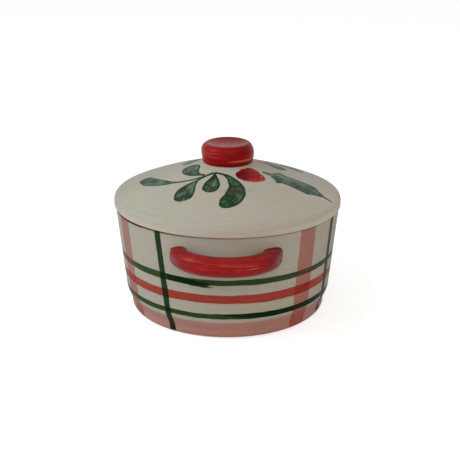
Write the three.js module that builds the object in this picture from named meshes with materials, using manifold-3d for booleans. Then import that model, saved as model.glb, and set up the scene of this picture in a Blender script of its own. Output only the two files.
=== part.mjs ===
// A round covered baking dish in glazed stoneware: a tapered dish with two loop handles, and a domed lid
// with a knob. Millimetres, +Z up. The dish stands on z = 0 with its axis on Z, and its handles lie along Y.
import * as THREE from "three";
import { mergeVertices } from "three/addons/utils/BufferGeometryUtils.js";
import Module from "manifold-3d";

const wasm = await Module();
wasm.setup();

// Dish
const dishHeight = 77;
const rimRadius = 81.5;
const wallTaper = 0.098; // radius lost per millimetre of depth
const wallThickness = 5.5;
const floorThickness = 5.5;
const rimRounding = 1.4;
const ankleHeight = 17.3; // where the wall starts to turn in above the foot
const ankleDrop = 11.8;
const ankleStep = 2.5;
const footRounding = 3.8;
const footRingWidth = 7.5;
const footRecess = 1.5;
const innerRounding = 12;

// Handles: a level bar, bent to half an ellipse
const handleHalfSpan = 30.8;
const handleReach = 22.8; // from the wall's surface at the ends to the middle of the bar
const handleBelowRim = 13.6;
const handleBarHeight = 12;
const handleBarDepth = 12.8;
const jointGap = 0.3; // between a handle's end and the wall that it is stuck to

// Lid
const lidOverhang = 1.1; // past the rim
const lidThickness = 5;
const lidEdgeHeight = 3.6; // the upright part of the edge, under its roll
const lidEdgeRoll = 5.2;
const lidEdgeRounding = 0.8;
const domeHeight = 30.1; // from the rim to the knob's seat
const domeSlopeAtEdge = 0.468;
const domeSlopeAtKnob = 0.372;
const flangeClearance = 1.2; // between the locating ring and the dish
const flangeThickness = 4.5;
const flangeDepth = 5;

// Knob
const knobSeatRadius = 16.8;
const knobRadius = 19.15;
const knobWaist = 8.4; // height of its widest part over its seat
const knobHeight = 14.5;
const knobCrestRadius = 13;
const knobDish = 1.9;

// Facets
const turnSteps = 64;
const barSteps = 26;
const barSides = 16;

// Points of a circular arc about (r, z), from one angle to another, both in degrees.
function arc(r, z, radius, from, to, steps) {
  const points = [];
  for (let i = 0; i <= steps; i++) {
    const angle = THREE.MathUtils.degToRad(THREE.MathUtils.lerp(from, to, i / steps));
    points.push(new THREE.Vector2(r + radius * Math.cos(angle), z + radius * Math.sin(angle)));
  }
  return points;
}

// Points (radius, height(radius)) from one radius to another.
function graph(height, from, to, steps) {
  const points = [];
  for (let i = 0; i <= steps; i++) {
    const r = THREE.MathUtils.lerp(from, to, i / steps);
    points.push(new THREE.Vector2(r, height(r)));
  }
  return points;
}

// Turns a profile about Z. It goes anticlockwise in the (radius, height) plane, from the axis to the axis.
function turned(profile) {
  const geometry = new THREE.LatheGeometry(profile, turnSteps);
  geometry.rotateX(Math.PI / 2);
  return geometry;
}

function toSolid(geometry) {
  const bare = geometry.clone();
  bare.deleteAttribute("normal");
  bare.deleteAttribute("uv");
  const merged = mergeVertices(bare, 1e-4);
  return new wasm.Manifold(
    new wasm.Mesh({
      numProp: 3,
      vertProperties: merged.attributes.position.array,
      triVerts: new Uint32Array(merged.index.array),
    }),
  );
}

function toGeometry(solid) {
  const mesh = solid.getMesh();
  const geometry = new THREE.BufferGeometry();
  geometry.setAttribute("position", new THREE.BufferAttribute(mesh.vertProperties, 3));
  geometry.setIndex(new THREE.BufferAttribute(mesh.triVerts, 1));
  geometry.computeVertexNormals();
  return geometry;
}

// The outside radius of the dish's wall, at a height above the ankle.
function wallRadius(z) {
  return rimRadius - wallTaper * (dishHeight - z);
}

// The outside of the dish from the foot to the rim's edge, as it is or grown outwards.
function dishOutside(growth) {
  const ankleEnd = ankleHeight - ankleDrop;
  const footRadius = wallRadius(ankleEnd) - ankleStep;
  const points = arc(footRadius - footRounding, footRounding, footRounding, -90, 0, 4);
  const ankleSteps = 6;
  for (let i = 0; i <= ankleSteps; i++) {
    const z = THREE.MathUtils.lerp(ankleEnd, ankleHeight, i / ankleSteps);
    const step = ankleStep * (1 - THREE.MathUtils.smoothstep(i / ankleSteps, 0, 1));
    points.push(new THREE.Vector2(wallRadius(z) - step, z));
  }
  points.push(...arc(rimRadius - rimRounding, dishHeight - rimRounding, rimRounding, 0, 90, 4));
  return points.map((p) => new THREE.Vector2(p.x + growth, p.y));
}

function dishBody() {
  const floorTop = footRecess + floorThickness;
  const innerRadius = (z) => wallRadius(z) - wallThickness;
  const cornerTop = floorTop + innerRounding;
  const cornerRadius = innerRadius(cornerTop) - innerRounding;
  const footInner = dishOutside(0)[0].x - footRingWidth;
  return turned([
    new THREE.Vector2(0, footRecess),
    new THREE.Vector2(footInner - footRecess, footRecess),
    new THREE.Vector2(footInner, 0),
    ...dishOutside(0),
    ...arc(innerRadius(dishHeight) + rimRounding, dishHeight - rimRounding, rimRounding, 90, 180, 4),
    ...arc(cornerRadius, cornerTop, innerRounding, 0, -90, 6),
    new THREE.Vector2(0, floorTop),
  ]);
}

// The bar's centre line, as seen from above: both ends run straight into the wall.
class LoopPath extends THREE.Curve {
  constructor(halfSpan, reach, tail) {
    super();
    this.halfSpan = halfSpan;
    this.reach = reach;
    this.tail = tail;
  }

  getPoint(t, target = new THREE.Vector3()) {
    const bend = Math.PI * this.halfSpan;
    const along = t * (bend + 2 * this.tail) - this.tail;
    const inside = Math.max(0, -along, along - bend);
    const angle = THREE.MathUtils.clamp(along / this.halfSpan, 0, Math.PI);
    return target.set(
      this.halfSpan * Math.cos(angle),
      inside - this.reach * Math.sin(angle),
      0,
    );
  }
}

function handleLoop() {
  const height = dishHeight - handleBelowRim;
  const radius = wallRadius(height);
  const endY = Math.sqrt(radius ** 2 - handleHalfSpan ** 2);
  const section = new THREE.Shape();
  section.absellipse(0, 0, handleBarHeight / 2, handleBarDepth / 2, 0, 2 * Math.PI);
  const bar = new THREE.ExtrudeGeometry(section, {
    steps: barSteps,
    curveSegments: barSides / 2,
    bevelEnabled: false,
    extrudePath: new LoopPath(handleHalfSpan, handleReach, handleBarDepth / 2),
  });
  bar.translate(0, -endY, height);
  const wall = turned([
    new THREE.Vector2(0, 0),
    ...dishOutside(jointGap),
    new THREE.Vector2(0, dishHeight),
  ]);
  return toGeometry(toSolid(bar).subtract(toSolid(wall)));
}

// The height of the lid's upper face over the rim, between the edge's roll and the knob.
const lidRadius = rimRadius + lidOverhang;
const rollEnd = Math.atan2(1, domeSlopeAtEdge);
const rollDegrees = THREE.MathUtils.radToDeg(rollEnd);
const domeStart = new THREE.Vector2(
  lidRadius - lidEdgeRoll + lidEdgeRoll * Math.cos(rollEnd),
  lidEdgeHeight + lidEdgeRoll * Math.sin(rollEnd),
);
const domeThird = (domeStart.x - knobSeatRadius) / 3;
const dome = new THREE.CubicBezierCurve(
  domeStart,
  new THREE.Vector2(domeStart.x - domeThird, domeStart.y + domeSlopeAtEdge * domeThird),
  new THREE.Vector2(knobSeatRadius + domeThird, domeHeight - domeSlopeAtKnob * domeThird),
  new THREE.Vector2(knobSeatRadius, domeHeight),
);

function domeAt(radius) {
  return dome.getPoint((domeStart.x - radius) / (domeStart.x - knobSeatRadius)).y;
}

function lidPlate() {
  const flangeOuter = rimRadius - wallThickness - flangeClearance;
  const flangeInner = flangeOuter - flangeThickness;
  const bead = flangeThickness / 2;
  const underside = (radius) => domeAt(radius) - lidThickness;
  return turned([
    new THREE.Vector2(0, domeHeight - lidThickness),
    ...graph(underside, knobSeatRadius, flangeInner, 8),
    ...arc(flangeInner + bead, bead - flangeDepth, bead, 180, 360, 6),
    new THREE.Vector2(flangeOuter, 0),
    ...arc(lidRadius - lidEdgeRounding, lidEdgeRounding, lidEdgeRounding, -90, 0, 2),
    ...arc(lidRadius - lidEdgeRoll, lidEdgeHeight, lidEdgeRoll, 0, rollDegrees, 5),
    ...graph(domeAt, domeStart.x, knobSeatRadius, 12).slice(1),
    new THREE.Vector2(0, domeHeight),
  ]);
}

// A quarter of an ellipse from (r0, z0) to (r1, z1), upright at the end that the flag names.
function quarter(r0, z0, r1, z1, uprightEnd, steps) {
  const points = [];
  for (let i = 1; i <= steps; i++) {
    const angle = (Math.PI / 2) * (i / steps);
    const rise = uprightEnd ? 1 - Math.cos(angle) : Math.sin(angle);
    const run = uprightEnd ? Math.sin(angle) : 1 - Math.cos(angle);
    const r = THREE.MathUtils.lerp(r0, r1, run);
    points.push(new THREE.Vector2(r, THREE.MathUtils.lerp(z0, z1, rise)));
  }
  return points;
}

function lidKnob() {
  const dished = (r) => knobHeight - knobDish * Math.cos(((Math.PI / 2) * r) / knobCrestRadius) ** 2;
  return turned([
    new THREE.Vector2(0, 0),
    new THREE.Vector2(knobSeatRadius, 0),
    ...quarter(knobSeatRadius, 0, knobRadius, knobWaist, true, 5),
    ...quarter(knobRadius, knobWaist, knobCrestRadius, knobHeight, false, 6),
    ...graph(dished, knobCrestRadius, 0, 5).slice(1),
  ]);
}

function glaze(color, roughness) {
  return new THREE.MeshStandardMaterial({ color, roughness, metalness: 0 });
}

function piece(name, geometry, material) {
  const mesh = new THREE.Mesh(geometry, material);
  mesh.name = name;
  return mesh;
}

const creamGlaze = () => glaze(0xd9d2c3, 0.35);
const redGlaze = () => glaze(0xb02226, 0.3);

const dish = new THREE.Group();
const rearHandle = piece("handle_rear", handleLoop(), redGlaze());
rearHandle.rotation.z = Math.PI;
dish.add(
  piece("dish_body", dishBody(), creamGlaze()),
  piece("handle_front", handleLoop(), redGlaze()),
  rearHandle,
);

const lid = new THREE.Group();
const knob = piece("lid_knob", lidKnob(), redGlaze());
knob.position.z = domeHeight;
lid.position.z = dishHeight;
lid.add(piece("lid_plate", lidPlate(), creamGlaze()), knob);

const bakingDish = new THREE.Group();
bakingDish.add(dish, lid);

export default bakingDish;
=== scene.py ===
"""The look of a covered baking dish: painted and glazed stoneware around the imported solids.

The solids give every piece its place and size. Each one is replaced by a fine mesh of the same form, with the
small unevenness of pottery that is pressed, joined and painted by hand, and the paint is drawn by materials.
Lengths are metres in the meshes, and millimetres inside the materials.
"""

import math
from functools import partial

import bpy
import numpy as np
from bpy.props import FloatProperty, FloatVectorProperty, PointerProperty
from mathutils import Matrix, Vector


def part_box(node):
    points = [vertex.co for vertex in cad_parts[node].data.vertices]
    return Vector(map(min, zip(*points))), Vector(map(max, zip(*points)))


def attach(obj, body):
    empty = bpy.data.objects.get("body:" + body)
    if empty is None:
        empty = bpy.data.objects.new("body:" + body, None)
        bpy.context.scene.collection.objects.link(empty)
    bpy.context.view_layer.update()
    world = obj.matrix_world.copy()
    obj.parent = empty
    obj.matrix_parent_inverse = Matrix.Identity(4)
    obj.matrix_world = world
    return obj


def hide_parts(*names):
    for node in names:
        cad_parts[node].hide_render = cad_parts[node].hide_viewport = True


bl_info = {
    "name": "Covered baking dish",
    "version": (1, 0, 0),
    "blender": (4, 5, 0),
    "location": "3D View > Sidebar > Baking dish",
    "description": "Builds the painted stoneware of a covered baking dish around its solids",
    "category": "Object",
}

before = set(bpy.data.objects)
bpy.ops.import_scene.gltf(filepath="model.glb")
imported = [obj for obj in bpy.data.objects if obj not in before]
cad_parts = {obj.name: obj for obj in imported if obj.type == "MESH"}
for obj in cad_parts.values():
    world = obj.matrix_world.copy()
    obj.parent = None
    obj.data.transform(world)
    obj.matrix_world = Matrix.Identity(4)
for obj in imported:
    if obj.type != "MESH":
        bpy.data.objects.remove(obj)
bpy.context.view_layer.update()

MM = 0.001
SENSOR = 36.0  # width of the camera's sensor in millimetres
HUB = 3 * MM  # radius of the middle disc of a turned face

RIM_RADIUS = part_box("dish_body")[1][0]
RIM_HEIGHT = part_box("dish_body")[1][2]
LID_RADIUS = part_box("lid_plate")[1][0]
SEAT_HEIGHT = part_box("lid_knob")[0][2]
KNOB_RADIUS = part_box("lid_knob")[1][0]
KNOB_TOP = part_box("lid_knob")[1][2]
BAR_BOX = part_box("handle_front")


def srgb(text):
    """An sRGB hex colour as linear red, green, blue and alpha."""
    values = [int(text[i : i + 2], 16) / 255 for i in (1, 3, 5)]
    linear = [v / 12.92 if v <= 0.04045 else ((v + 0.055) / 1.055) ** 2.4 for v in values]
    return (*linear, 1.0)


def number(label, text, value, **more):
    return FloatProperty(name=label, description=text, default=value, **more)


def length(label, text, millimetres):
    return number(label, text, millimetres * MM, unit="LENGTH", precision=5)


def angle(label, text, degrees):
    return number(label, text, math.radians(degrees), subtype="ANGLE")


def colour(label, text, code):
    limits = {"subtype": "COLOR", "size": 4, "min": 0, "max": 1}
    return FloatVectorProperty(name=label, description=text, default=srgb(code), **limits)


class DishShape(bpy.types.PropertyGroup):
    taper: number("Wall taper", "Radius that the wall loses for each unit of depth", 0.098)
    wall: length("Wall", "Thickness of the wall", 5.5)
    rim_rounding: length("Rim rounding", "Radius of both edges of the rim", 0.9)
    ankle_height: length("Ankle height", "Where the wall starts to turn in above the foot", 17.3)
    ankle_drop: length("Ankle drop", "Height over which the wall turns in", 11.8)
    ankle_step: length("Ankle step", "How far the wall turns in", 2.5)
    foot_rounding: length("Foot rounding", "Radius of the edge that stands on the table", 3.8)
    foot_width: length("Foot width", "Width of the ring that stands on the table", 7.5)
    foot_recess: length("Foot recess", "Height of the hollow inside the foot", 1.5)
    floor: length("Floor", "Thickness of the floor", 5.5)
    inner_rounding: length("Inner rounding", "Radius between the floor and the wall", 12.0)
    unevenness: length("Unevenness", "Most that the wall strays from a true circle", 0.15)


class HandleShape(bpy.types.PropertyGroup):
    half_span: length("Half span", "From the middle of the bar to the middle of its end", 30.8)
    reach: length("Reach", "How far the bar's middle stands off its ends", 22.8)
    bar_depth: length("Bar depth", "Thickness of the bar seen from above", 12.8)
    joint: length("Joint", "Radius of the smoothed clay where the bar meets the wall", 0.6)
    tail: length("Tail", "How far the bar runs on inside the wall", 3.0)
    flatness: number("Flatness", "Power of the section's outline: 2 is an ellipse, more is boxier", 2.9)
    unevenness: length("Unevenness", "Most that the bar is thinner than its true section", 0.15)


class LidShape(bpy.types.PropertyGroup):
    thickness: length("Thickness", "Thickness of the plate", 5.0)
    edge_height: length("Edge height", "Upright part of the edge, under its roll", 3.6)
    edge_roll: length("Edge roll", "Radius that turns the edge into the dome", 5.2)
    edge_rounding: length("Edge rounding", "Radius of the edge's lower corner", 0.8)
    slope_at_edge: number("Slope at edge", "Rise of the dome at its edge", 0.468)
    slope_at_knob: number("Slope at knob", "Rise of the dome at the knob", 0.372)
    seat_radius: length("Seat radius", "Radius of the knob's seat", 16.8)
    flange_clearance: length("Flange clearance", "Play between the ring under the lid and the dish", 1.2)
    flange_width: length("Flange width", "Thickness of the ring under the lid", 4.5)
    flange_depth: length("Flange depth", "How far the ring reaches into the dish", 5.0)
    lift: length("Lift", "How far the lid's edge stands off the rim on its left", 0.8)
    unevenness: length("Unevenness", "Most that the dome falls short of its true form", 0.2)


class KnobShape(bpy.types.PropertyGroup):
    waist: length("Waist", "Height of the widest part over the seat", 8.4)
    crest: length("Crest", "Radius of the highest ring", 14.3)
    dish: length("Dish", "Depth of the hollow in the top", 1.9)
    groove_height: length("Groove height", "Height of the groove over the seat", 3.9)
    groove_depth: length("Groove depth", "Depth of the groove under the knob's side", 0.2)
    groove_width: length("Groove width", "Half of the groove's width", 0.9)


class BandLayout(bpy.types.PropertyGroup):
    upper_green: length("Upper green", "Height of the upper green ring", 44.6)
    coral: length("Coral", "Height of the coral ring", 31.7)
    lower_green: length("Lower green", "Height of the lower green ring", 18.4)
    base: length("Base band", "Height of the pink band's upper edge", 13.4)
    pink_width: length("Pink width", "Half of the pink uprights' width", 7.1)
    green_width: length("Green width", "Half of the green uprights' width", 2.5)


class PaintColours(bpy.types.PropertyGroup):
    glaze: colour("Glaze", "Clear glaze over the pale clay", "#B2AB9D")
    clay: colour("Clay", "Fired clay without glaze", "#BFAE93")
    olive: colour("Olive green", "Thin green of the upper ring", "#2C421D")
    ring_green: colour("Ring green", "Green of the lower ring", "#28401E")
    green: colour("Green", "Green of the uprights", "#193619")
    deep_green: colour("Deep green", "Green where the brush went over it again", "#082E15")
    leaf_wash: colour("Leaf wash", "Thinnest green inside the leaves", "#77857A")
    leaf: colour("Leaf", "Green inside the leaves", "#4F6350")
    leaf_edge: colour("Leaf edge", "Green that gathered along the leaves' edges", "#213822")
    pink: colour("Pink", "Pink of the base band", "#B27F73")
    full_pink: colour("Full pink", "Pink of the uprights", "#A67369")
    coral: colour("Coral", "Orange red of the ring", "#A03D31")
    red_thin: colour("Thin red", "Red where the bristles left little paint", "#C26656")
    red: colour("Red", "Red of the handles, the knob and the berries", "#A01614")
    red_deep: colour("Deep red", "Red where the paint gathered", "#7A0307")
    red_pooled: colour("Pooled red", "Red of the berries where the brush was emptied", "#5E0206")
    # Brown also darkens the line along the rim, as painted shade of the seam
    brown: colour("Brown", "Iron bleeding out of the paint where it pooled", "#3F2E19")


class StageSettings(bpy.types.PropertyGroup):
    focal: number("Focal length", "In millimetres, for a 36 mm wide sensor", 70.58)
    distance: length("Distance", "From the camera to the middle of the rim", 663.4)
    elevation: angle("Elevation", "Angle of the camera over the rim", 17.8)
    pitch: angle("Pitch", "How far the camera looks down", 19.66)
    roll: angle("Turn", "How far the camera is turned to its left", -0.14)


# Shapes


def arc(r, z, radius, start, end, steps):
    """Points (radius, height) of a circular arc about (r, z), from one angle to another in degrees."""
    angles = np.radians(np.linspace(start, end, steps + 1))
    return [(r + radius * math.cos(a), z + radius * math.sin(a)) for a in angles]


def line(start, end, steps):
    """Points of a straight stretch, without its first point."""
    return [tuple(np.array(start) + (np.array(end) - start) * i / steps) for i in range(1, steps + 1)]


def smooth(t):
    t = np.clip(t, 0.0, 1.0)
    return t * t * (3 - 2 * t)


def ramp_up(value, start, width):
    """Rises smoothly from 0 at the start to 1 a width further."""
    return smooth((value - start) / width)


def squared(wave, power):
    """A sine or cosine whose circle is drawn out to a rounded square where the power is under 1."""
    return np.sign(wave) * np.abs(wave) ** power


def hand_wave(around, seed, orders=(2, 3, 5)):
    """A slow wave from 0 to 1 around a turned piece, the same each run."""
    draw = np.random.default_rng(seed)
    wave = sum(np.sin(n * around + draw.uniform(0, 2 * math.pi)) / n for n in orders)
    return 0.5 + 0.5 * wave / sum(1 / n for n in orders)


def mesh_object(name, points, faces, slots, face_slots, places=None):
    """A smooth mesh from points in metres, with a material slot for each face."""
    mesh = bpy.data.meshes.new(name)
    mesh.from_pydata(points, [], faces)
    for material in slots:
        mesh.materials.append(material)
    mesh.polygons.foreach_set("material_index", face_slots)
    mesh.shade_smooth()
    if places is not None:
        mesh.attributes.new("bar_place", "FLOAT_VECTOR", "POINT").data.foreach_set("vector", np.ravel(places))
    mesh.update()
    made = bpy.data.objects.new(name, mesh)
    bpy.context.scene.collection.objects.link(made)
    return made


def turned(name, stretches, steps, slots, reshape):
    """Turns an outline about Z. stretches are (slot, points), and reshape moves the points of the rings."""
    outline = np.array([point for _, points in stretches for point in points])
    ring_slots = [slot for slot, points in stretches for _ in points]
    around = np.linspace(0, 2 * math.pi, steps, endpoint=False)
    radius = np.repeat(outline[:, :1], steps, axis=1)
    height = np.repeat(outline[:, 1:], steps, axis=1)
    radius, height = reshape(radius, height, around)
    rings = np.stack([radius * np.sin(around), -radius * np.cos(around), height], axis=-1)
    count = len(outline)
    points = rings.reshape(-1, 3).tolist()
    points += [[0.0, 0.0, float(height[0].mean())], [0.0, 0.0, float(height[-1].mean())]]
    faces = []
    face_slots = []
    for j in range(steps):
        k = (j + 1) % steps
        faces.append((count * steps, k, j))
        faces.append((count * steps + 1, (count - 1) * steps + j, (count - 1) * steps + k))
        face_slots += [ring_slots[0], ring_slots[-1]]
        for i in range(count - 1):
            faces.append((i * steps + j, i * steps + k, (i + 1) * steps + k, (i + 1) * steps + j))
            face_slots.append(ring_slots[i + 1])
    return mesh_object(name, points, faces, slots, face_slots)


def wall_radius(shape, z):
    return RIM_RADIUS - shape.taper * (RIM_HEIGHT - z)


def dish_stretches(shape):
    """The dish from the middle of its underside to the middle of its floor: 0 painted, 1 glazed, 2 bare."""
    ankle_end = shape.ankle_height - shape.ankle_drop
    foot_edge = wall_radius(shape, ankle_end) - shape.ankle_step - shape.foot_rounding
    foot_inner = foot_edge - shape.foot_width
    recess = shape.foot_recess
    recess_edge = (foot_inner - recess, recess)
    under = [(HUB, recess)] + line((HUB, recess), recess_edge, 14)
    foot = line(recess_edge, (foot_inner, 0.0), 3) + line((foot_inner, 0.0), (foot_edge, 0.0), 6)
    foot_curve = arc(foot_edge, shape.foot_rounding, shape.foot_rounding, -90, 0, 12)[1:]
    foot += foot_curve[:2]
    outside = foot_curve[2:]
    for share in np.linspace(0, 1, 21)[1:]:
        z = ankle_end + shape.ankle_drop * share
        outside.append((wall_radius(shape, z) - shape.ankle_step * (1 - smooth(share)), z))
    lip = shape.rim_rounding
    outside += line(outside[-1], (wall_radius(shape, RIM_HEIGHT - lip), RIM_HEIGHT - lip), 42)
    outside += arc(RIM_RADIUS - lip, RIM_HEIGHT - lip, lip, 0, 90, 8)[1:]
    inner_lip = RIM_RADIUS - shape.wall + lip
    outside += line((RIM_RADIUS - lip, RIM_HEIGHT), (inner_lip, RIM_HEIGHT), 3)
    outside += arc(inner_lip, RIM_HEIGHT - lip, lip, 90, 180, 8)[1:]
    floor_top = recess + shape.floor
    corner_top = floor_top + shape.inner_rounding
    corner = wall_radius(shape, corner_top) - shape.wall - shape.inner_rounding
    inside = line(outside[-1], (corner + shape.inner_rounding, corner_top), 26)
    inside += arc(corner, corner_top, shape.inner_rounding, 0, -90, 14)[1:]
    inside += line(inside[-1], (HUB, floor_top), 22)
    return [(1, under), (2, foot), (0, outside), (1, inside)]


def bar_centre(shape, steps):
    """Points along the middle of the bar at even spacing, and how far along each of them is."""
    height = (BAR_BOX[0][2] + BAR_BOX[1][2]) / 2
    dish = bpy.context.scene.dish_shape
    end_y = math.sqrt(wall_radius(dish, height) ** 2 - shape.half_span**2)
    angles = np.linspace(0, math.pi, 600)
    bend = np.stack([shape.half_span * np.cos(angles), -end_y - shape.reach * np.sin(angles)], axis=-1)
    start = bend[:1] + [[0, shape.tail]]
    end = bend[-1:] + [[0, shape.tail]]
    bend = np.concatenate([start, bend, end])
    walked = np.concatenate([[0], np.cumsum(np.linalg.norm(np.diff(bend, axis=0), axis=1))])
    along = np.linspace(0, walked[-1], steps + 1)
    points = np.stack([np.interp(along, walked, bend[:, i]) for i in (0, 1)], axis=-1)
    return np.column_stack([points, np.full(len(along), height)]), along


def handle_mesh(name, shape, material, facing, seed):
    """A loop handle: a bar of round clay, bent by hand and smoothed on to the wall at both ends."""
    steps, sides = 170, 52
    bent = 30 * MM  # how much of each end the hand bent
    joined = 0.016  # how much of each end is pressed squarer, to hold on the wall
    buried = 3 * MM  # how far the ends may reach under the wall's surface
    centre, along = bar_centre(shape, steps)
    right = smooth(1 - along / bent)
    left = smooth(1 - (along[-1] - along) / bent)
    # Both ends are shifted to the left, and the right one hangs
    centre[:, 0] -= (1.1 * right + 2.0 * left) * MM
    centre[:, 2] -= 1.1 * MM * right**2
    direction = np.gradient(centre, axis=0)
    direction /= np.linalg.norm(direction, axis=1, keepdims=True)
    outward = np.column_stack([-direction[:, 1], direction[:, 0], np.zeros(len(along))])
    turn = np.linspace(0, 2 * math.pi, sides, endpoint=False)
    share = along / along[-1] * 2 * math.pi
    bar_height = BAR_BOX[1][2] - BAR_BOX[0][2]
    thin = shape.unevenness * hand_wave(share, seed, (1.5, 2.6, 4.3))
    end_zone = smooth(1 - np.minimum(along, along[-1] - along) / joined)
    power = 2 / (shape.flatness + 0.5 * end_zone)[:, None]
    half_depth = (shape.bar_depth / 2 - thin - 0.6 * MM * left)[:, None]
    half_height = (bar_height / 2 - thin - 0.35 * MM * end_zone)[:, None]
    across = half_depth * squared(np.cos(turn), power)
    upward = half_height * squared(np.sin(turn), power)
    # The left end slopes down outward on top, and the middle is fuller underneath
    above = np.clip(upward / half_height, 0, 1)
    below = np.clip(-upward / half_height, 0, 1)
    upward -= left[:, None] * across * np.where(across > 0, 0.4, 0.06) * above
    upward -= 0.5 * MM * ((1 - left) * (1 - right))[:, None] * below
    points = centre[:, None] + across[..., None] * outward[:, None]
    points = points + upward[..., None] * np.array([0, 0, 1.0])
    wall = wall_radius(bpy.context.scene.dish_shape, points[..., 2])
    distance = np.hypot(points[..., 0], points[..., 1])
    points[..., :2] *= (np.maximum(distance, wall - buried) / distance)[..., None]
    gap = np.clip(np.hypot(points[..., 0], points[..., 1]) - wall, 0, shape.joint)
    flare = shape.joint - np.sqrt(shape.joint**2 - (shape.joint - gap) ** 2)
    push = points - centre[:, None]
    push /= np.linalg.norm(push, axis=-1, keepdims=True)
    points += push * flare[..., None]
    places = np.stack([np.repeat(along[:, None], sides, axis=1), across, upward], axis=-1)
    turn_about = np.array([[math.cos(facing), math.sin(facing)], [-math.sin(facing), math.cos(facing)]])
    points[..., :2] = points[..., :2] @ turn_about
    faces = []
    for i in range(steps):
        for j in range(sides):
            k = (j + 1) % sides
            faces.append((i * sides + j, i * sides + k, (i + 1) * sides + k, (i + 1) * sides + j))
    faces.append(tuple(reversed(range(sides))))
    faces.append(tuple(steps * sides + j for j in range(sides)))
    vertices = points.reshape(-1, 3).tolist()
    return mesh_object(name, vertices, faces, [material], [0] * len(faces), places.reshape(-1, 3))


def lid_curve(shape, count, drop=0.0):
    """The dome from the knob's seat to the roll of its edge, as (radius, height) points, lowered by drop."""
    roll_end = math.atan2(1, shape.slope_at_edge)
    start_r = LID_RADIUS - shape.edge_roll + shape.edge_roll * math.cos(roll_end)
    start_z = RIM_HEIGHT + shape.edge_height + shape.edge_roll * math.sin(roll_end)
    third = (start_r - shape.seat_radius) / 3
    controls = [
        (shape.seat_radius, SEAT_HEIGHT),
        (shape.seat_radius + third, SEAT_HEIGHT - shape.slope_at_knob * third),
        (start_r - third, start_z + shape.slope_at_edge * third),
        (start_r, start_z),
    ]
    t = np.linspace(0, 1, count)[:, None]
    weights = np.hstack([(1 - t) ** 3, 3 * t * (1 - t) ** 2, 3 * t**2 * (1 - t), t**3])
    curve = weights @ np.array(controls)
    return [(r, z - drop) for r, z in curve]


def lid_stretches(shape, dish):
    """The lid from the middle of its underside to the middle of its top: 0 painted, 1 glazed, 2 bare."""
    flange_outer = RIM_RADIUS - dish.wall - shape.flange_clearance
    flange_inner = flange_outer - shape.flange_width
    bead = shape.flange_width / 2
    ceiling = [point for point in lid_curve(shape, 60, shape.thickness) if point[0] < flange_inner]
    under = [(HUB, ceiling[0][1])] + line((HUB, ceiling[0][1]), ceiling[0], 6) + ceiling[1:]
    flange_foot = RIM_HEIGHT - shape.flange_depth + bead
    under += line(under[-1], (flange_inner, flange_foot), 8)
    under += arc(flange_inner + bead, flange_foot, bead, 180, 360, 14)[1:]
    under += line(under[-1], (flange_outer, RIM_HEIGHT), 4)
    corner = shape.edge_rounding
    ledge = line((flange_outer, RIM_HEIGHT), (LID_RADIUS - corner, RIM_HEIGHT), 8)
    roll_end = math.degrees(math.atan2(1, shape.slope_at_edge))
    top = arc(LID_RADIUS - corner, RIM_HEIGHT + corner, corner, -90, 0, 6)[1:]
    top += line((LID_RADIUS, RIM_HEIGHT + corner), (LID_RADIUS, RIM_HEIGHT + shape.edge_height), 4)
    roll = shape.edge_roll
    top += arc(LID_RADIUS - roll, RIM_HEIGHT + shape.edge_height, roll, 0, roll_end, 14)[1:]
    top += list(reversed(lid_curve(shape, 64)))[1:]
    top += line(top[-1], (HUB, SEAT_HEIGHT), 6)
    return [(1, under), (2, ledge), (0, top)]


def knob_stretches(shape, seat_radius):
    """The knob from the middle of its foot, a little inside the lid, to the middle of its hollow top."""
    sunk = SEAT_HEIGHT - 0.8 * MM
    ledge = 0.6 * MM  # how far the foot stands out past the seat
    leanness = 1.3  # power of the lower side's curve: 1 is an ellipse, and more is leaner
    quarter = np.radians(np.linspace(0, 90, 25))[1:]
    side = [(HUB, sunk)] + line((HUB, sunk), (seat_radius, sunk), 6)
    side += [(seat_radius + ledge, SEAT_HEIGHT - ledge / 2)]
    for a in quarter:
        r = seat_radius + ledge + (KNOB_RADIUS - seat_radius - ledge) * math.sin(a) ** leanness
        side.append((r, SEAT_HEIGHT + shape.waist * (1 - math.cos(a))))
    for a in quarter:
        r = KNOB_RADIUS - (KNOB_RADIUS - shape.crest) * (1 - math.cos(a))
        side.append((r, SEAT_HEIGHT + shape.waist + (KNOB_TOP - SEAT_HEIGHT - shape.waist) * math.sin(a)))
    for r in np.linspace(shape.crest, 1 * MM, 30)[1:]:
        side.append((r, KNOB_TOP - shape.dish * (1 - (r / shape.crest) ** 2)))
    return [(0, side)]


# Finishes


# The property that the second word of a node's kind sets
MODES = {
    "Math": "operation",
    "VectorMath": "operation",
    "Mix": "blend_type",
    "MapRange": "interpolation_type",
}
EASE = "MapRange SMOOTHSTEP"
STRETCH = "VectorMath MULTIPLY"


def add_node(tree, kind, *inputs, out=0, **settings):
    """Adds a shader node, such as "Math ADD" or "TexNoise", and returns one of its outputs.

    Its inputs get values or links, in their order or by name in one dictionary. Settings are its properties.
    """
    kind, _, mode = kind.partition(" ")
    node = tree.nodes.new("ShaderNode" + kind)
    if kind == "Mix":
        node.data_type = "RGBA"
    if mode:
        settings[MODES[kind]] = mode
    for name, value in settings.items():
        setattr(node, name, value)
    by_name = inputs[0] if inputs and isinstance(inputs[0], dict) else {}
    open_inputs = [socket for socket in node.inputs if socket.enabled]
    chosen = [node.inputs[name] for name in by_name] if by_name else open_inputs
    for socket, value in zip(chosen, by_name.values() if by_name else inputs):
        if isinstance(value, bpy.types.NodeSocket):
            tree.links.new(value, socket)
        else:
            socket.default_value = value
    open_outputs = [socket for socket in node.outputs if socket.enabled]
    return open_outputs[out] if open_outputs else None


def new_material(name):
    """An empty material, the function that adds its nodes, the place in millimetres and the paint colours."""
    material = bpy.data.materials.new(name)
    material.use_nodes = True
    material.node_tree.nodes.clear()
    add = partial(add_node, material.node_tree)
    place = add("VectorMath SCALE", add("TexCoord", out=3), 1 / MM)
    return material, add, place, bpy.context.scene.paint_colours


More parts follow.
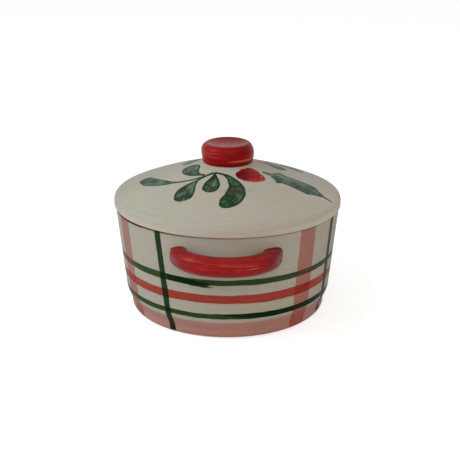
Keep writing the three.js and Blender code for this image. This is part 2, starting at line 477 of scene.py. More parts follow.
def new_group(name, **inputs):
    """An empty node group: its tree, the function that adds its nodes, and its inputs of each kind."""
    tree = bpy.data.node_groups.new(name, "ShaderNodeTree")
    for kind, labels in inputs.items():
        for label in labels.split(", "):
            tree.interface.new_socket(label, in_out="INPUT", socket_type="NodeSocket" + kind)
    return tree, partial(add_node, tree), tree.nodes.new("NodeGroupInput").outputs[:-1]


def close_group(tree, kind="Float", **results):
    """Gives a node group its outputs, which are all of one kind, and links them."""
    for label in results:
        tree.interface.new_socket(label, in_out="OUTPUT", socket_type="NodeSocket" + kind)
    leaving = tree.nodes.new("NodeGroupOutput")
    for label, socket in results.items():
        tree.links.new(socket, leaving.inputs[label])
    return tree


def mottle(add, place, scale, detail, low, high, roughness=0.5):
    """Cloudy noise that runs about from low to high. Its scale is the number of waves in a millimetre."""
    noise = add("TexNoise", place, scale, detail, roughness)
    return add("MapRange", noise, 0.3, 0.7, low, high)


def stacked(add, kind, value, *others):
    """Works other values into a value one by one, as in a sum, a product or a stack of tints."""
    full = (1.0,) if kind.startswith("Mix") else ()
    for other in others:
        value = add(kind, *full, value, other)
    return value


def from_axis(add, place):
    """How far a place is from the axis that the dish and the lid turn about."""
    return add("VectorMath LENGTH", add(STRETCH, place, (1.0, 1.0, 0.0)))


def set_stops(ramp, *stops):
    """Gives a colour ramp its positions and colours, and returns its output."""
    elements = ramp.node.color_ramp.elements
    elements.remove(elements[1])
    elements[0].position, elements[0].color = stops[0]
    for position, shade in stops[1:]:
        elements.new(position).color = shade
    return ramp


def brush_stroke():
    """Paint from one pull of a loaded brush, gathered at the edges and streaked by the bristles.

    Flow is the place, drawn out along the stroke. Across is the distance from its middle in millimetres.
    """
    tree, add, (flow, across, half, softness, seed) = new_group(
        "brush stroke", Vector="Flow", Float="Across, Half width, Softness, Seed"
    )
    flow = add("VectorMath ADD", flow, add("CombineXYZ", seed, seed, seed))
    sway = mottle(add, flow, 0.35, 1.0, -0.45, 0.45)
    away = add("Math ABSOLUTE", add("Math ADD", across, sway))
    ragged = mottle(add, flow, 2.2, 2.0, -0.22, 0.22)
    depth = add("Math ADD", add("Math SUBTRACT", half, away), ragged)
    cover = add(EASE, depth, add("Math MULTIPLY", softness, -1.0), softness)
    gathered = add(EASE, depth, 0.0, 1.1, 0.22, 0.0)
    bristles = mottle(add, flow, 1.5, 4.0, 0.3, 0.85, 0.6)
    return close_group(tree, Cover=cover, Load=add("Math ADD", bristles, gathered))


def glass_paint():
    """Underglaze paint over what is already there: it tints like glass, and Body is the share that hides.

    Paint is the colour that it has over the plain Ground when its load is full.
    """
    tree, add, (under, ground, paint, cover, load, body, thin) = new_group(
        "glass paint", Color="Under, Ground, Paint", Float="Cover, Load, Body, Thin"
    )
    strength = add("MapRange", load, 0.25, 0.65, thin, 1.0)
    tint = add("Mix DIVIDE", 1.0, paint, ground)
    laid = add("Mix", body, add("Mix MULTIPLY", 1.0, under, tint), paint)
    amount = add("Math MULTIPLY", cover, strength, use_clamp=True)
    result = add("Mix", amount, under, laid)
    heavy = add("Math MULTIPLY", add("MapRange", load, 0.55, 1.1, 0.0, 0.3), cover)
    return close_group(tree, "Color", Colour=add("Mix MULTIPLY", heavy, result, tint))


def ring_stroke(stroke):
    """A brush stroke round the dish while it turns on the wheel, whole or between two angles from the front.

    Slant is how much earlier the stroke begins at its upper side, in radians for each millimetre.
    """
    tree, add, (place, height, half, softness, start, end, rise, slant, seed) = new_group(
        "ring stroke", Vector="Place", Float="Height, Half width, Softness, Start, End, Rise, Slant, Seed"
    )
    parts = add("SeparateXYZ", place).node.outputs
    bearing = add("Math ARCTAN2", parts["X"], add("Math MULTIPLY", parts["Y"], -1.0))
    since = add("Math SUBTRACT", bearing, start)
    across = stacked(add, "Math SUBTRACT", parts["Z"], height, add("Math MULTIPLY", since, rise))
    flow = add(STRETCH, place, (0.05, 0.05, 1.0))
    made = add("Group", flow, across, half, softness, seed, node_tree=stroke).node.outputs
    frayed = mottle(add, flow, 2.6, 2.0, -0.05, 0.05)
    lifted = add("Math ADD", add("Math SUBTRACT", end, bearing), frayed)
    # The bristles fray the slanting start by up to 0.8 mm
    uneven = add("Math MULTIPLY_ADD", frayed, 16.0, across)
    since = add("Math MULTIPLY_ADD", uneven, slant, since)
    begun = add("MapRange", since, -0.004, 0.012)
    ended = add("MapRange", lifted, -0.006, 0.02)
    cover = add("Math MULTIPLY", made["Cover"], add("Math MULTIPLY", begun, ended))
    return close_group(tree, Cover=cover, Load=made["Load"])


def upright_stroke(stroke):
    """A brush stroke down the wall from the rim to the foot, at an angle from the front."""
    tree, add, (place, bearing, half, lean, top, seed) = new_group(
        "upright stroke", Vector="Place", Float="Angle, Half width, Lean, Top, Seed"
    )
    back = add("Math MULTIPLY", bearing, -1.0)
    own = add("VectorRotate", {"Vector": place, "Angle": back}, rotation_type="Z_AXIS")
    parts = add("SeparateXYZ", own).node.outputs
    across = add("Math ADD", parts["X"], add("Math MULTIPLY", parts["Z"], lean))
    flow = add(STRETCH, own, (1.0, 0.05, 0.05))
    softness = 0.3
    made = add("Group", flow, across, half, softness, seed, node_tree=stroke).node.outputs
    facing = add("Math LESS_THAN", parts["Y"], 0.0)
    begun = add("MapRange", add("Math SUBTRACT", top, parts["Z"]), -0.3, 0.3)
    cover = stacked(add, "Math MULTIPLY", made["Cover"], facing, begun)
    run_down = add(EASE, parts["Z"], 35.0, 6.0, 0.0, 0.35)
    return close_group(tree, Cover=cover, Load=add("Math ADD", made["Load"], run_down))


def leaf_figure(name, outline, handle):
    """A brushed leaf on a stalk, bent to an arc. outline gives its half width from the stalk to the tip.

    Paint gathers in a dark line along the edge, and the bristles leave paler streaks inside.
    """
    tree, add, (place, centre, turn, per_radian, radius, arc_length, stalk, widest, strength) = new_group(
        name,
        Vector="Place, Centre",
        Float="Turn, Shares per radian, Radius, Length, Stalk, Half width, Strength",
    )
    offset = add("VectorMath SUBTRACT", place, centre)
    own = add("VectorRotate", {"Vector": offset, "Angle": turn}, rotation_type="Z_AXIS")
    parts = add("SeparateXYZ", own).node.outputs
    share = add("Math MULTIPLY_ADD", add("Math ARCTAN2", parts["Y"], parts["X"]), per_radian, 0.5)
    along = add("Math MULTIPLY", share, arc_length)
    across = add("Math SUBTRACT", from_axis(add, own), radius)
    blade = add("MapRange", share, stalk, 1.0)
    curve = add("FloatCurve", {"Value": blade})
    points = curve.node.mapping.curves[0].points
    for x, y in outline[1:-1]:
        points.new(x, y)
    for point, (x, y) in zip(points, outline):
        point.location = (x, y)
        point.handle_type = handle
    curve.node.mapping.update()
    half = add("Math MULTIPLY", curve, widest)
    half = add("Math MAXIMUM", half, add("MapRange", share, 0.0, 1.0, 1.1, 0.9))
    depth = add("Math SUBTRACT", half, add("Math ABSOLUTE", across))
    begun = add("MapRange", along, -0.6, 0.4)
    ended = add("MapRange", share, 0.992, 1.004, 1.0, 0.0)
    within = add("Math MULTIPLY", begun, ended)
    cover = add("Math MULTIPLY", add(EASE, depth, -0.3, 0.35, 0.0, 1.0), within)
    wet = add("Math MULTIPLY", add("MapRange", depth, -0.5, -0.2, 0.0, 1.0), within)
    flow = add("CombineXYZ", along, across, radius)
    streaks = add(STRETCH, flow, (0.06, 1.15, 1.0))
    load = add("MapRange", add("TexNoise", streaks, 1.0, 3.0, 0.6), 0.32, 0.68, 0.1, 0.62)
    pools = add("MapRange", add("TexNoise", flow, 0.16, 1.0), 0.35, 0.68, -0.1, 0.36)
    toward_tip = add("MapRange", blade, 0.1, 0.9, 0.0, 0.12)
    fullness = add("MapRange", strength, 0.88, 1.02, 0.45, 1.0)
    gathered = add("Math MULTIPLY", add(EASE, depth, 0.4, 2.0, 0.85, 0.0), fullness)
    load = stacked(add, "Math ADD", load, pools, toward_tip, gathered)
    return close_group(tree, Cover=cover, Load=stacked(add, "Math MULTIPLY", load, strength, wet))


def leaf_form(base, tip, bulge, stalk, half, strength):
    """What a leaf's group takes for an arc from base to tip that bulges to its left, in millimetres."""
    base = np.array(base, float)
    chord = np.array(tip, float) - base
    span = float(np.linalg.norm(chord))
    left = np.array([-chord[1], chord[0]]) / span
    radius = (span**2 / 4 + bulge**2) / (2 * abs(bulge))
    sweep = 2 * math.asin(span / 2 / radius)
    side = math.copysign(1.0, bulge)
    centre = base + chord / 2 + left * (bulge - side * radius)
    turn = -math.atan2(side * left[1], side * left[0])
    return (*centre, 0.0), turn, -side / sweep, radius, radius * sweep, stalk, half, strength


def berry_figure():
    """A round berry, put down with a turn of a full brush."""
    tree, add, (place, centre, radius, strength) = new_group(
        "berry", Vector="Place, Centre", Float="Radius, Strength"
    )
    offset = add("VectorMath SUBTRACT", place, centre)
    depth = add("Math SUBTRACT", radius, from_axis(add, offset))
    cover = add(EASE, depth, -0.3, 0.35)
    rim = add(EASE, depth, 0.4, 1.7, 0.14, 0.0)
    flow = add(STRETCH, offset, (0.16, 0.4, 0.4))
    bristles = add("MapRange", add("TexNoise", flow, 1.0, 2.0), 0.32, 0.68, 0.2, 0.75)
    load = stacked(add, "Math MULTIPLY", add("Math ADD", rim, bristles), strength, cover)
    return close_group(tree, Cover=cover, Load=load)


# Half widths of the leaves, from the stalk's end to the tip, as shares of the length and of the widest part
PADDLE = [(0.0, 0.08), (0.16, 0.34), (0.4, 0.78), (0.64, 1.0), (0.84, 0.92), (0.95, 0.58), (1.0, 0.0)]
HOLLY = [(0.0, 0.1), (0.1, 0.2), (0.16, 0.5), (0.21, 1.0), (0.3, 0.74), (0.45, 0.78), (0.58, 0.86)]
HOLLY += [(0.69, 0.88), (0.76, 0.5), (0.86, 0.13), (1.0, 0.06)]

# Kind, base, tip, bulge to the left, share of stalk, half width, and strength of the paint, seen from above
LEAVES = [
    ("mistletoe", (-9.5, -22.5), (-60.8, 1.6), 14.3, 0.36, 5.4, 0.89),
    ("mistletoe", (-16, -23.5), (-24, -2), 5.5, 0.08, 6.5, 0.96),
    ("mistletoe", (-9.5, -22.5), (-30.4, -52.5), -6.3, 0.3, 6.9, 1.1),
    ("mistletoe", (-8.8, -23), (-13.4, -45.5), 0.6, 0.04, 5.9, 1.32),
    ("mistletoe", (-9, -22.5), (-5.5, -61.5), 13.2, 0.1, 6.8, 1.16),
    ("holly", (25, -14), (73.5, -29.2), 3.2, 0.0, 10.8, 1.02),
    ("mistletoe", (13, 26), (40, 5), 3.0, 0.15, 7.2, 1.2),
    ("mistletoe", (10, 27), (57, 20), 6.0, 0.45, 4.8, 1.25),
    ("mistletoe", (-6, 27), (-30, 7), -3.0, 0.2, 6.6, 1.15),
    ("mistletoe", (1, 27), (-3, 51), 1.0, 0.1, 6.4, 0.95),
    ("mistletoe", (6, 27), (20, 60), 8.0, 0.25, 6.4, 0.95),
    ("holly", (-15, 26), (-41, 68), 3.4, 0.0, 9.5, 0.8),
]
# Centre, radius and strength of the paint
BERRIES = [
    ((17.2, -20.3), 6.4, 1.9),
    ((20.6, -23.4), 6.0, 0.85),
    ((17.2, -26.0), 5.7, 0.9),
    ((13.6, -22.2), 5.9, 1.35),
    ((13.9, -26.6), 5.3, 0.85),
    ((10.4, -25.2), 4.9, 3.4),
    ((-9.0, 33.5), 5.6, 0.9),
    ((-15.0, 38.5), 5.8, 0.75),
    ((23.0, 6.5), 3.6, 0.3),
]


def pale_ground(add, place, colours):
    """Clear glaze over pale clay: slightly uneven, with faint rings of the wheel and a few specks of iron."""
    cloud = mottle(add, place, 0.024, 3.0, 0.0, 1.0)
    cool = tuple(v * k for v, k in zip(colours.glaze, (0.985, 1.0, 1.0, 1.0)))
    warm = tuple(v * k for v, k in zip(colours.glaze, (1.01, 0.97, 0.94, 1.0)))
    tone = add("Mix", cloud, cool, warm)
    patch = add("MapRange", add("TexNoise", place, 0.07, 2.0), 0.35, 0.65)
    patch = add("Mix", patch, (1.0, 0.975, 1.0, 1.0), (1.0, 1.0, 0.95, 1.0))
    grain = mottle(add, place, 0.45, 3.0, 0.96, 1.03)
    wheel = add("CombineXYZ", from_axis(add, place), add("SeparateXYZ", place, out=2))
    wheel = add(STRETCH, wheel, (0.3, 0.3, 0.0))
    wheel = add("VectorMath ADD", wheel, add("VectorMath SCALE", place, 0.012))
    wheel = mottle(add, wheel, 1.0, 3.0, 0.97, 1.03)
    tone = stacked(add, "Mix MULTIPLY", tone, patch, grain, wheel)
    cells = add("TexVoronoi", place, 0.075).node.outputs
    chosen = add("Math LESS_THAN", add("SeparateColor", cells["Color"]), 0.22)
    speck = add("MapRange", cells["Distance"], 0.02, 0.035, 0.5, 0.0)
    return add("Mix", add("Math MULTIPLY", speck, chosen), tone, colours.brown)


def glazed(add, place, colour_socket, roughness, gloss):
    """Finishes a material as stoneware under a thin clear glaze: a soft, slightly rippled gloss.

    Seen along the surface, the colour is darkened: painted shade at grazing angles.
    """
    ripple = add("Math ADD", add("TexNoise", place, 0.11, 2.0), add("TexNoise", place, 1.3, 2.0))
    # Painted shade: the base colour sinks where the surface is seen along its length
    grazing_painted_shade = add("MapRange", add("LayerWeight", 0.5, out=1), 0.62, 1.0, 1.0, 0.58)
    look = {
        "Base Color": add("Mix MULTIPLY", 1.0, colour_socket, grazing_painted_shade),
        "Roughness": roughness,
        "IOR": 1.5,
        "Specular IOR Level": gloss,
        "Normal": add("Bump", {"Height": ripple, "Strength": 0.35, "Distance": 0.25 * MM}),
    }
    add("OutputMaterial", add("BsdfPrincipled", look))


def clear_glazed_stoneware():
    """Stoneware dipped in clear glaze: pale, softly glossy and a little uneven."""
    material, add, place, colours = new_material("clear_glazed_stoneware")
    glazed(add, place, pale_ground(add, place, colours), roughness=0.42, gloss=0.035)
    return material


def bare_stoneware():
    """Fired clay that was wiped free of glaze, so that it stands without sticking: matt, warm and sandy."""
    material, add, place, colours = new_material("bare_stoneware")
    sand = add("TexNoise", place, 1.6, 4.0)
    shade = add("MapRange", sand, 0.3, 0.7, 0.86, 1.08)
    look = {
        "Base Color": add("Mix MULTIPLY", 1.0, colours.clay, shade),
        "Roughness": 0.85,
        "IOR": 1.5,
        "Normal": add("Bump", {"Height": sand, "Strength": 0.5, "Distance": 0.2 * MM}),
    }
    add("OutputMaterial", add("BsdfPrincipled", look))
    return material


def plaid(colours, bands, ring, upright):
    """The strokes on the wall in the order of painting: paint, body, thinnest, node group and its values.

    Rings take height, half width, softness, start, end, rise, slant and seed, and uprights take angle, half
    width, lean, top and seed.
    """
    round_all = (-4.0, 4.0, 0.0, 0.0)  # a whole turn and more, with no rise and no slant
    top = 77.4  # the uprights begin over the rim
    pink = bands.pink_width / MM
    green = bands.green_width / MM
    past_handle = (math.radians(-32), math.radians(-8.5), -7.0, 0.0)
    past_front = (math.radians(3), math.radians(60), 0.0, 0.09)
    strokes = [
        (colours.pink, 0.1, 0.7, ring, (0.0, bands.base / MM, 1.1, *round_all, 1.0)),
        (colours.olive, 0.25, 0.9, ring, (bands.upper_green / MM, 2.2, 0.3, *round_all, 2.0)),
        (colours.ring_green, 0.25, 0.94, ring, (bands.lower_green / MM, 2.1, 0.3, *round_all, 3.0)),
    ]
    for seed, degrees in enumerate((-62.5, 42.3, 168), 11):
        values = (math.radians(degrees), pink, 0.0, top, seed)
        strokes.append((colours.full_pink, 0.14, 0.92, upright, values))
    strokes += [
        (colours.coral, 0.14, 0.9, ring, (bands.coral / MM, 3.1, 0.3, *round_all, 4.0)),
        # Stretches of both green rings that the brush went over again
        (colours.deep_green, 0.45, 0.9, ring, (44.8, 2.1, 0.3, *past_handle, 5.0)),
        (colours.deep_green, 0.3, 0.64, ring, (18.5, 1.9, 0.3, *past_front, 6.0)),
    ]
    leaning = ((-32.2, 1.0, 0.06), (65.0, 1.15, 0.028), (-167, 1.0, 0.03))
    for seed, (degrees, wider, lean) in enumerate(leaning, 14):
        values = (math.radians(degrees), wider * green, lean, top, seed)
        strokes.append((colours.green, 0.3, 0.93, upright, values))
    return strokes


def banded_stoneware():
    """Underglaze bands, brushed on pale clay and crossed like a plaid, under clear glaze.

    Each band is a wet stroke of glassy paint, so it is streaked along its way and darkens what it crosses.
    """
    material, add, place, colours = new_material("banded_stoneware")
    stroke = brush_stroke()
    paint = glass_paint()
    look = pale_ground(add, place, colours)
    parts = add("SeparateXYZ", place).node.outputs
    # Behind and above the handles the colour is lifted, most in green and blue: painted light against the
    # handles' shade and red bounce
    behind = add(EASE, add("Math ABSOLUTE", parts["X"]), 38.0, 22.0)
    high = add(EASE, parts["Z"], 50.0, 60.0)
    painted_light_tint = add("Mix MULTIPLY", 1.0, look, (1.01, 1.08, 1.1, 1.0))
    look = add("Mix", add("Math MULTIPLY", behind, high), look, painted_light_tint)
    # The paint stops at the outer side of the rim's rounding
    rim, top = RIM_RADIUS / MM, RIM_HEIGHT / MM
    inward = add("MapRange", from_axis(add, place), rim - 0.7, rim - 1.3)
    on_rim = add("MapRange", parts["Z"], top - 2.5, top - 1.5)
    outside = add("Math SUBTRACT", 1.0, add("Math MULTIPLY", inward, on_rim))
    strokes = plaid(colours, bpy.context.scene.band_layout, ring_stroke(stroke), upright_stroke(stroke))
    for shade, body, thin, figure, values in strokes:
        made = add("Group", place, *values, node_tree=figure).node.outputs
        cover = add("Math MULTIPLY", made["Cover"], outside)
        look = add("Group", look, colours.glaze, shade, cover, made["Load"], body, thin, node_tree=paint)
    # A line along the rim, widest on the left: red paint there, turning thinner and browner to the right as
    # painted shade of the seam under the lid
    wide = add(EASE, parts["X"], -74.0, -55.0, 1.35, 0.7)
    drip = mottle(add, place, 0.12, 2.0, -0.2, 0.2)
    from_top = add("Math SUBTRACT", top, parts["Z"])
    depth = add("Math SUBTRACT", add("Math ADD", wide, drip), from_top)
    cover = add(EASE, depth, -0.25, 0.25)
    thinner = add(EASE, parts["X"], -62.0, -15.0, 0.95, 0.15)
    cover = stacked(add, "Math MULTIPLY", cover, outside, thinner)
    # The brown share of the line is painted shade of the seam
    seam_shade_share = add(EASE, parts["X"], -65.0, -20.0, 0.0, 0.5)
    shade = add("Mix", seam_shade_share, colours.red_deep, colours.brown)
    look = add("Group", look, colours.glaze, shade, cover, 0.6, 0.1, 1.0, node_tree=paint)
    glazed(add, place, look, roughness=0.42, gloss=0.035)
    return material


def leaf_painted_stoneware():
    """Leaves and berries brushed on pale clay under clear glaze, dark where the paint gathered."""
    material, add, place, colours = new_material("leaf_painted_stoneware")
    ground = pale_ground(add, place, colours)
    parts = add("SeparateXYZ", place).node.outputs
    # The ground is lighter on the upright edge and on the right, and a little darker on the roll over the
    # edge: painted light and shade
    over_rim = add("Math SUBTRACT", parts["Z"], RIM_HEIGHT / MM)
    roll = add(EASE, over_rim, 10.5, 7.5, 1.0, 0.975)
    edge = add(EASE, over_rim, 7.2, 2.2, 1.0, 1.23)
    right_painted_light = add("MapRange", parts["X"], 35.0, 78.0, 1.0, 1.1)
    ground = stacked(add, "Mix MULTIPLY", ground, roll, edge, right_painted_light)
    waver = add("VectorMath SUBTRACT", add("TexNoise", place, 0.16, 2.0, out=1), (0.5, 0.5, 0.5))
    drawn = add("VectorMath ADD", place, add("VectorMath SCALE", waver, 1.3))
    kinds = {
        "mistletoe": leaf_figure("mistletoe leaf", PADDLE, "AUTO"),
        "holly": leaf_figure("holly leaf", HOLLY, "VECTOR"),
    }
    berry = berry_figure()
    leaves = [(kinds[kind], leaf_form(*form)) for kind, *form in LEAVES]
    berries = [(berry, ((*centre, 0.0), radius, strength)) for centre, radius, strength in BERRIES]
    laid = []
    for figures in (leaves, berries):
        cover = 0.0
        load = 0.0
        for figure, values in figures:
            made = add("Group", drawn, *values, node_tree=figure).node.outputs
            cover = add("Math MAXIMUM", cover, made["Cover"])
            load = add("Math MAXIMUM", load, made["Load"])
        laid.append((cover, load))
    (green, green_load), (red, red_load) = laid
    greens = [(0.08, colours.leaf_wash), (0.42, colours.leaf), (0.74, colours.leaf_edge)]
    tones = set_stops(add("ValToRGB", green_load), *greens, (1.0, colours.deep_green))
    look = add("Mix", green, ground, tones)
    # A ridge from the potter's wheel, where the glaze ran thin and the paint turned brown
    parts = add("SeparateXYZ", drawn).node.outputs
    ridge_radius = 45.4
    from_ridge = add("Math ABSOLUTE", add("Math SUBTRACT", from_axis(add, drawn), ridge_radius))
    ridge = add(EASE, from_ridge, 0.8, 3.2, 1.0, 0.0)
    sideways = add("Math ABSOLUTE", add("Math SUBTRACT", parts["X"], 2.0))
    stain = add(EASE, sideways, 12.0, 20.0, 1.0, 0.0)
    front = add("Math LESS_THAN", parts["Y"], 0.0)
    patchy = add("MapRange", add("TexNoise", place, 0.22, 2.0), 0.38, 0.62, 0.45, 1.0)
    in_leaf = add("MapRange", green, 0.0, 1.0, 0.15, 0.9)
    stain = stacked(add, "Math MULTIPLY", stain, front, ridge, patchy, in_leaf)
    look = add("Mix", stain, look, colours.brown)
    reds = [(0.05, colours.red_thin), (0.23, colours.red), (0.45, colours.red_deep)]
    tones = add("ValToRGB", add("Math MULTIPLY", red_load, 0.5))
    set_stops(tones, *reds, (0.8, colours.red_pooled))
    glazed(add, place, add("Mix", red, look, tones), roughness=0.42, gloss=0.075)
    return material


def red_handle_stoneware():
    """Red underglaze under clear glaze, brushed along the bar in streaks, and deeper towards the bottom and
    both ends.
    """
    material, add, place, colours = new_material("red_handle_stoneware")
    bar = add("VectorMath SCALE", add("Attribute", out=1, attribute_name="bar_place"), 1 / MM)
    flow = add(STRETCH, bar, (0.05, 1.0, 1.0))
    load = mottle(add, flow, 1.0, 4.0, 0.37, 0.92, 0.7)
    patches = add("TexNoise", add(STRETCH, bar, (0.06, 0.12, 0.12)), 1.0, 2.0)
    patches = add("MapRange", patches, 0.35, 0.65, -0.2, 0.15)
    parts = add("SeparateXYZ", bar).node.outputs
    low = add(EASE, parts["Z"], -1.0, -5.5, 0.0, 0.2)
    right = add(EASE, parts["X"], 34.0, 12.0, 0.0, 0.52)
    left = add(EASE, parts["X"], 66.0, 84.0, 0.0, 0.28)
    load = stacked(add, "Math ADD", load, patches, low, right, left)
    # Thin streaks on the outer side of the bar's middle
    pale_streak = add("VectorMath MULTIPLY_ADD", bar, (0.06, 2.3, 2.3), (5.0, 2.0, 3.0))
    pale_streak = add("MapRange", add("TexNoise", pale_streak, 1.0, 2.0), 0.48, 0.68, 0.0, 0.38)
    from_middle = add("Math ABSOLUTE", add("Math SUBTRACT", parts["X"], 47.0))
    middle = add(EASE, from_middle, 12.0, 28.0, 1.0, 0.0)
    outer = add(EASE, parts["Y"], 2.0, 5.0)
    pale_streak = stacked(add, "Math MULTIPLY", pale_streak, middle, outer)
    tones = add("ValToRGB", add("Math SUBTRACT", load, pale_streak))
    set_stops(tones, (0.05, colours.red_thin), (0.42, colours.red), (1.0, colours.red_deep))
    glazed(add, place, tones, roughness=0.27, gloss=0.125)
    return material


def red_knob_stoneware():
    """Red underglaze brushed round the knob under clear glaze: painted light and shade on its side, deeper
    red under the groove.
    """
    material, add, place, colours = new_material("red_knob_stoneware")
    groove = (SEAT_HEIGHT + bpy.context.scene.knob_shape.groove_height) / MM
    flow = add(STRETCH, place, (0.05, 0.05, 0.7))
    load = mottle(add, flow, 1.0, 4.0, 0.2, 0.85, 0.62)
    parts = add("SeparateXYZ", place).node.outputs
    # Lighter on the left and deeper on the right: painted light and shade on the knob's side
    side_painted_light = add(EASE, parts["X"], -16.0, 5.0, -0.1, 0.2)
    on_top = add("MapRange", parts["Z"], KNOB_TOP / MM - 2.5, KNOB_TOP / MM, 0.0, 0.25)
    load = stacked(add, "Math ADD", load, side_painted_light, on_top)
    # A painted highlight on the edge over the groove, on the right, and deeper red below the groove
    above = add("Math SUBTRACT", parts["Z"], groove)
    pale_streak = add(EASE, above, 0.5, 2.0, 1.0, 0.0)
    under = add(EASE, above, -1.3, 0.0)
    on_right = add(EASE, parts["X"], -6.0, 6.0, 0.0, 0.7)
    pale_streak = stacked(add, "Math MULTIPLY", pale_streak, under, on_right)
    pooled = add(EASE, above, -0.6, -2.4, 0.0, 0.3)
    tones = add("ValToRGB", add("Math ADD", add("Math SUBTRACT", load, pale_streak), pooled))
    set_stops(tones, (0.0, colours.red_thin), (0.35, colours.red), (0.95, colours.red_deep))
    glazed(add, place, tones, roughness=0.25, gloss=0.065)
    return material


# Tools


def seen_directly(add):
    """1 for what the camera sees, also mirrored or through glass, and 0 for light that falls on things."""
    path = add("LightPath").node.outputs
    seen = add("Math MAXIMUM", path["Is Camera Ray"], path["Is Glossy Ray"])
    return add("Math MAXIMUM", seen, path["Is Transmission Ray"])


class BAKING_OT_dish(bpy.types.Operator):
    """Build the painted dish in place of its solid"""

    bl_idname = "baking_dish.build_dish"
    bl_label = "Build the dish"

    def execute(self, context):
        shape = context.scene.dish_shape

        def reshape(radius, height, around):
            """The wall strays from its circle, most at the rim and on the right, and the rim is wavy."""
            share = smooth(height / RIM_HEIGHT)
            wave = hand_wave(around, 3) - 0.5 + 0.5 * np.sin(around)
            short = shape.unevenness * wave * (0.35 + 0.65 * share)
            at_rim = ramp_up(height, 0.9 * RIM_HEIGHT, 0.1 * RIM_HEIGHT)
            return radius - short * smooth(radius / 0.05), height - 0.3 * MM * hand_wave(around, 4) * at_rim

        slots = [banded_stoneware(), clear_glazed_stoneware(), bare_stoneware()]
        dish = turned("dish", dish_stretches(shape), 300, slots, reshape)
        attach(dish, "dish")
        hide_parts("dish_body")
        return {"FINISHED"}


class BAKING_OT_handles(bpy.types.Operator):
    """Build both loop handles in place of their solids"""

    bl_idname = "baking_dish.build_handles"
    bl_label = "Build the handles"

    def execute(self, context):
        shape = context.scene.handle_shape
        material = red_handle_stoneware()
        for name, node, facing, seed in (
            ("front_handle", "handle_front", 0.0, 5),
            ("rear_handle", "handle_rear", math.pi, 6),
        ):
            handle = handle_mesh(name, shape, material, facing, seed)
            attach(handle, "dish")
            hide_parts(node)
        return {"FINISHED"}


class BAKING_OT_lid(bpy.types.Operator):
    """Build the painted lid in place of its solid"""

    bl_idname = "baking_dish.build_lid"
    bl_label = "Build the lid"

    def execute(self, context):
        shape = context.scene.lid_shape

        def reshape(radius, height, around):
            """The lid leans to its right, where its dome sags most and its edge is a little narrower."""
            lean = shape.lift * (1 - radius * np.sin(around) / LID_RADIUS) / 2
            on_dome = ramp_up(height - RIM_HEIGHT, 5 * MM, 5 * MM) * ramp_up(radius, 0.017, 0.02)
            right = np.clip(np.sin(around), 0, 1)
            sag = (shape.unevenness * hand_wave(around, 7, (1, 2, 3)) + 0.7 * MM * right) * on_dome
            short = 0.1 * MM * (1 + np.sin(around)) * ramp_up(radius, 0.077, 0.004)
            return radius - short, height + lean - sag

        slots = [leaf_painted_stoneware(), clear_glazed_stoneware(), bare_stoneware()]
        lid = turned("lid", lid_stretches(shape, context.scene.dish_shape), 300, slots, reshape)
        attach(lid, "lid")
        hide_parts("lid_plate")
        return {"FINISHED"}


class BAKING_OT_knob(bpy.types.Operator):
    """Build the knob in place of its solid"""

    bl_idname = "baking_dish.build_knob"
    bl_label = "Build the knob"

    def execute(self, context):
        shape = context.scene.knob_shape

        def reshape(radius, height, around):
            """A groove wavers round the side, the waist hangs on the right and the top tilts forward."""
            middle = SEAT_HEIGHT + shape.groove_height + 0.4 * MM * np.sin(around + 0.6)
            groove = shape.groove_depth * np.exp(-(((height - middle) / shape.groove_width) ** 2))
            side = ramp_up(radius, 0.012, 0.003)
            short = 0.06 * MM * hand_wave(around, 9)
            share = (height - SEAT_HEIGHT) / (KNOB_TOP - SEAT_HEIGHT)
            outer = ramp_up(radius, 0.014, 0.004)
            low = (1.2 * np.sin(around) + 0.3) * MM * np.sin(math.pi * share) * outer
            tilt = 0.3 * MM * (1 + np.cos(around)) * smooth(share) * smooth(radius / 0.015)
            return radius - (groove + short) * side, height - low - tilt

        stretches = knob_stretches(shape, context.scene.lid_shape.seat_radius)
        knob = turned("knob", stretches, 220, [red_knob_stoneware()], reshape)
        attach(knob, "lid")
        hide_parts("lid_knob")
        return {"FINISHED"}


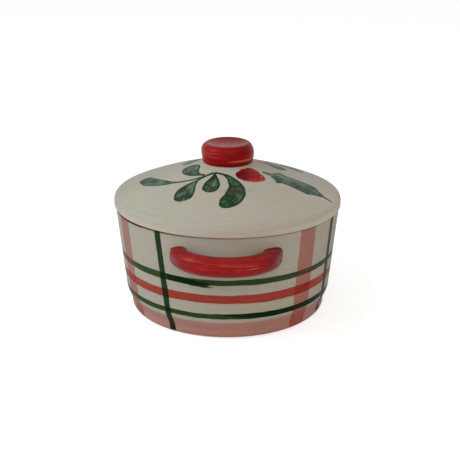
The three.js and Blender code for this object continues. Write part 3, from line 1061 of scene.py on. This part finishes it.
class BAKING_OT_stage(bpy.types.Operator):
    """Set up the pale floor, the studio light and the camera"""

    bl_idname = "baking_dish.build_stage"
    bl_label = "Set the stage"

    def execute(self, context):
        scene = context.scene
        settings = scene.stage_settings
        floor = self.floor()
        self.surround(scene)
        self.lamp("window_light", (-0.95, -0.2, 0.85), size=0.7, watts=8.3, tint=(0.71, 0.9, 1.0))
        self.lamp("front_fill", (0.3, -1.25, 0.78), size=1.3, watts=6.2, tint=(1.0, 0.94, 0.88))
        camera = bpy.data.objects.new("camera", bpy.data.cameras.new("camera"))
        scene.collection.objects.link(camera)
        scene.camera = camera
        camera.data.lens = settings.focal
        camera.data.sensor_width = SENSOR
        aside = 0.15 * MM
        back = settings.distance * math.cos(settings.elevation)
        camera.location = (aside, -back, RIM_HEIGHT + settings.distance * math.sin(settings.elevation))
        camera.rotation_euler = (math.pi / 2 - settings.pitch, 0, settings.roll)
        scene.view_settings.view_transform = "Standard"
        return {"FINISHED"}

    def floor(self):
        """A pale paper floor. What the camera sees of it is lifted to white, and keeps the shadow."""
        material, add, *_ = new_material("pale_paper")
        look = {"Base Color": srgb("#DBDBDA"), "Roughness": 0.9, "Specular IOR Level": 0.0}
        paper = add("BsdfPrincipled", look)
        lifted = add("AddShader", paper, add("Emission", (0.99, 1.0, 1.0, 1.0), 0.63))
        add("OutputMaterial", add("MixShader", seen_directly(add), paper, lifted))
        side = 6.0
        corners = [(-side, -side, 0.0), (side, -side, 0.0), (side, side, 0.0), (-side, side, 0.0)]
        return mesh_object("floor", corners, [(0, 1, 2, 3)], [material], [0])

    def surround(self, scene):
        """White all round for what is seen or mirrored, and a softer light from it for the rest."""
        world = bpy.data.worlds.new("studio")
        world.use_nodes = True
        world.node_tree.nodes.clear()
        add = partial(add_node, world.node_tree)
        soft = add("Background", (1.0, 0.975, 0.95, 1.0), 0.49)
        white = add("Background", (1.0, 1.0, 1.0, 1.0), 1.0)
        add("OutputWorld", add("MixShader", seen_directly(add), soft, white))
        scene.world = world

    def lamp(self, name, place, size, watts, tint):
        """A soft box that looks at the middle of the dish."""
        lamp = bpy.data.lights.new(name, "AREA")
        lamp.energy = watts
        lamp.size = size
        lamp.color = tint
        made = bpy.data.objects.new(name, lamp)
        made.location = place
        made.rotation_euler = (Vector((0, 0, RIM_HEIGHT)) - made.location).to_track_quat("-Z", "Y").to_euler()
        bpy.context.scene.collection.objects.link(made)


TOOLS = (BAKING_OT_dish, BAKING_OT_handles, BAKING_OT_lid, BAKING_OT_knob, BAKING_OT_stage)
SETTINGS = {
    "dish_shape": DishShape,
    "handle_shape": HandleShape,
    "lid_shape": LidShape,
    "knob_shape": KnobShape,
    "band_layout": BandLayout,
    "paint_colours": PaintColours,
    "stage_settings": StageSettings,
}


class BAKING_PT_panel(bpy.types.Panel):
    """Sizes, colours and tools of the baking dish"""

    bl_idname = "BAKING_PT_panel"
    bl_label = "Baking dish"
    bl_space_type = "VIEW_3D"
    bl_region_type = "UI"
    bl_category = "Baking dish"

    def draw(self, context):
        for tool in TOOLS:
            self.layout.operator(tool.bl_idname)
        for name in SETTINGS:
            group = getattr(context.scene, name)
            box = self.layout.box()
            for value in group.bl_rna.properties.keys():
                if value not in ("rna_type", "name"):
                    box.prop(group, value)


def register():
    for name, settings in SETTINGS.items():
        bpy.utils.register_class(settings)
        setattr(bpy.types.Scene, name, PointerProperty(type=settings))
    for tool in (*TOOLS, BAKING_PT_panel):
        bpy.utils.register_class(tool)


def unregister():
    for tool in reversed((*TOOLS, BAKING_PT_panel)):
        bpy.utils.unregister_class(tool)
    for name, settings in SETTINGS.items():
        delattr(bpy.types.Scene, name)
        bpy.utils.unregister_class(settings)


def main():
    register()
    bpy.ops.baking_dish.build_dish()
    bpy.ops.baking_dish.build_handles()
    bpy.ops.baking_dish.build_lid()
    bpy.ops.baking_dish.build_knob()
    bpy.ops.baking_dish.build_stage()


if __name__ == "__main__":
    main()
